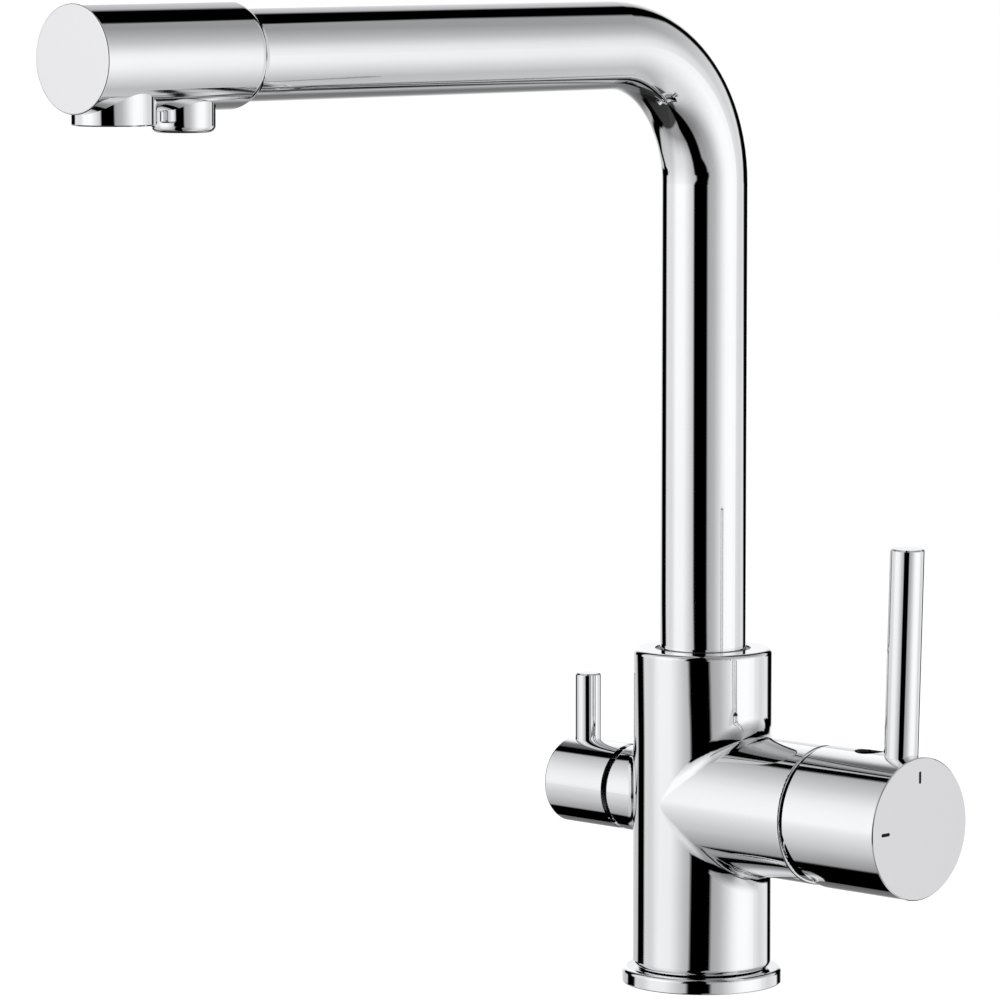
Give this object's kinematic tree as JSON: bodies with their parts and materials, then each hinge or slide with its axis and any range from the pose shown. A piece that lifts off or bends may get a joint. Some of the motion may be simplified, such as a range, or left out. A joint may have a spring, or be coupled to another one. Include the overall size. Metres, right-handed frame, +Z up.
{
  "type": "three way filtered water tap",
  "caption": "Deck-mounted kitchen tap with a swivelling level spout, a side mixing lever with a tall pin, a separate filtered water outlet under the head and a small filter knob.",
  "frame": {"origin": "centre of the round base, on the plane of the deck it stands on", "axes": "+Z up from the deck, -Y along the spout at rest (the front), +X towards the mixer handle, -X towards the filter knob"},
  "size_m": [0.1516, 0.296, 0.3225],
  "materials": {
    "chrome": "polished chrome plate",
    "satin_chrome": "fine satin plate on the end face",
    "brass": "machined brass",
    "steel": "turned stainless steel",
    "rubber": "black moulded rubber",
    "seal_rubber": "black seal rubber",
    "white_plastic": "white acetal",
    "grey_plastic": "grey moulded plastic",
    "blue_line": "blue food-grade hose plastic",
    "ceramic": "lapped alumina ceramic",
    "black_mark": "black enamel fill"
  },
  "bodies": {
    "tap_body": {"body_casting": "chrome", "base_ring": "chrome", "base_gasket": "rubber", "spout_retaining_screw": "steel", "spout_glide_ring": "white_plastic", "spout_thrust_washer": "white_plastic", "filter_nipple": "brass", "filter_nipple_seal": "seal_rubber", "cartridge_port_seals": "seal_rubber", "cartridge_base": "white_plastic", "cartridge_fixed_disc": "ceramic", "cartridge_housing": "white_plastic", "cartridge_nut": "brass", "cartridge_collar": "chrome", "filter_seat_seal": "seal_rubber", "filter_seat_disc": "ceramic", "filter_valve_body": "brass"},
    "spout": {"spout_adaptor": "brass", "spout_seals": "seal_rubber", "spout_tube": "chrome", "filter_line": "blue_line", "spout_head": "chrome", "spout_end_cap": "satin_chrome", "aerator_housing": "chrome", "aerator_insert": "grey_plastic", "aerator_seal": "seal_rubber", "filter_outlet_elbow": "brass", "filter_outlet_seal": "seal_rubber", "filter_outlet_straightener": "grey_plastic"},
    "mixer_turret": {"cartridge_turret": "grey_plastic", "lever_pivot_pin": "steel"},
    "mixer_discs": {"cartridge_moving_disc": "ceramic", "disc_carrier": "grey_plastic"},
    "mixer_handle": {"cartridge_stem": "brass", "handle_shell": "chrome", "handle_index_marks": "black_mark", "handle_lever": "chrome", "handle_screw": "steel"},
    "filter_control": {"filter_moving_disc": "ceramic", "filter_spindle": "brass", "filter_spindle_seal": "seal_rubber", "filter_circlip": "steel", "filter_knob": "chrome", "filter_knob_lever": "chrome", "filter_knob_screw": "steel"}
  },
  "joints": [
    {"name": "spout_swivel", "type": "hinge", "parent": "tap_body", "child": "spout", "pos_m": [0, 0, 0.11], "axis": [0, 0, 1], "continuous": true},
    {"name": "mixer_temperature", "type": "hinge", "parent": "tap_body", "child": "mixer_turret", "pos_m": [0.05, 0, 0.0608], "axis": [1, 0, 0], "range_deg": [-45, 45]},
    {"name": "mixer_flow", "type": "hinge", "parent": "mixer_turret", "child": "mixer_handle", "pos_m": [0.05, 0, 0.0608], "axis": [0, 1, 0], "range_deg": [0, 15]},
    {"name": "disc_slide", "type": "slide", "parent": "mixer_turret", "child": "mixer_discs", "axis": [0, 0, 1], "range_m": [0, 0.004]},
    {"name": "filter_turn", "type": "hinge", "parent": "tap_body", "child": "filter_control", "pos_m": [-0.048, 0, 0.0608], "axis": [1, 0, 0], "range_deg": [0, 90]}
  ],
  "couplings": [
    {"joint": "disc_slide", "follows": "mixer_flow", "m_per_rad": 0.01483}
  ]
}
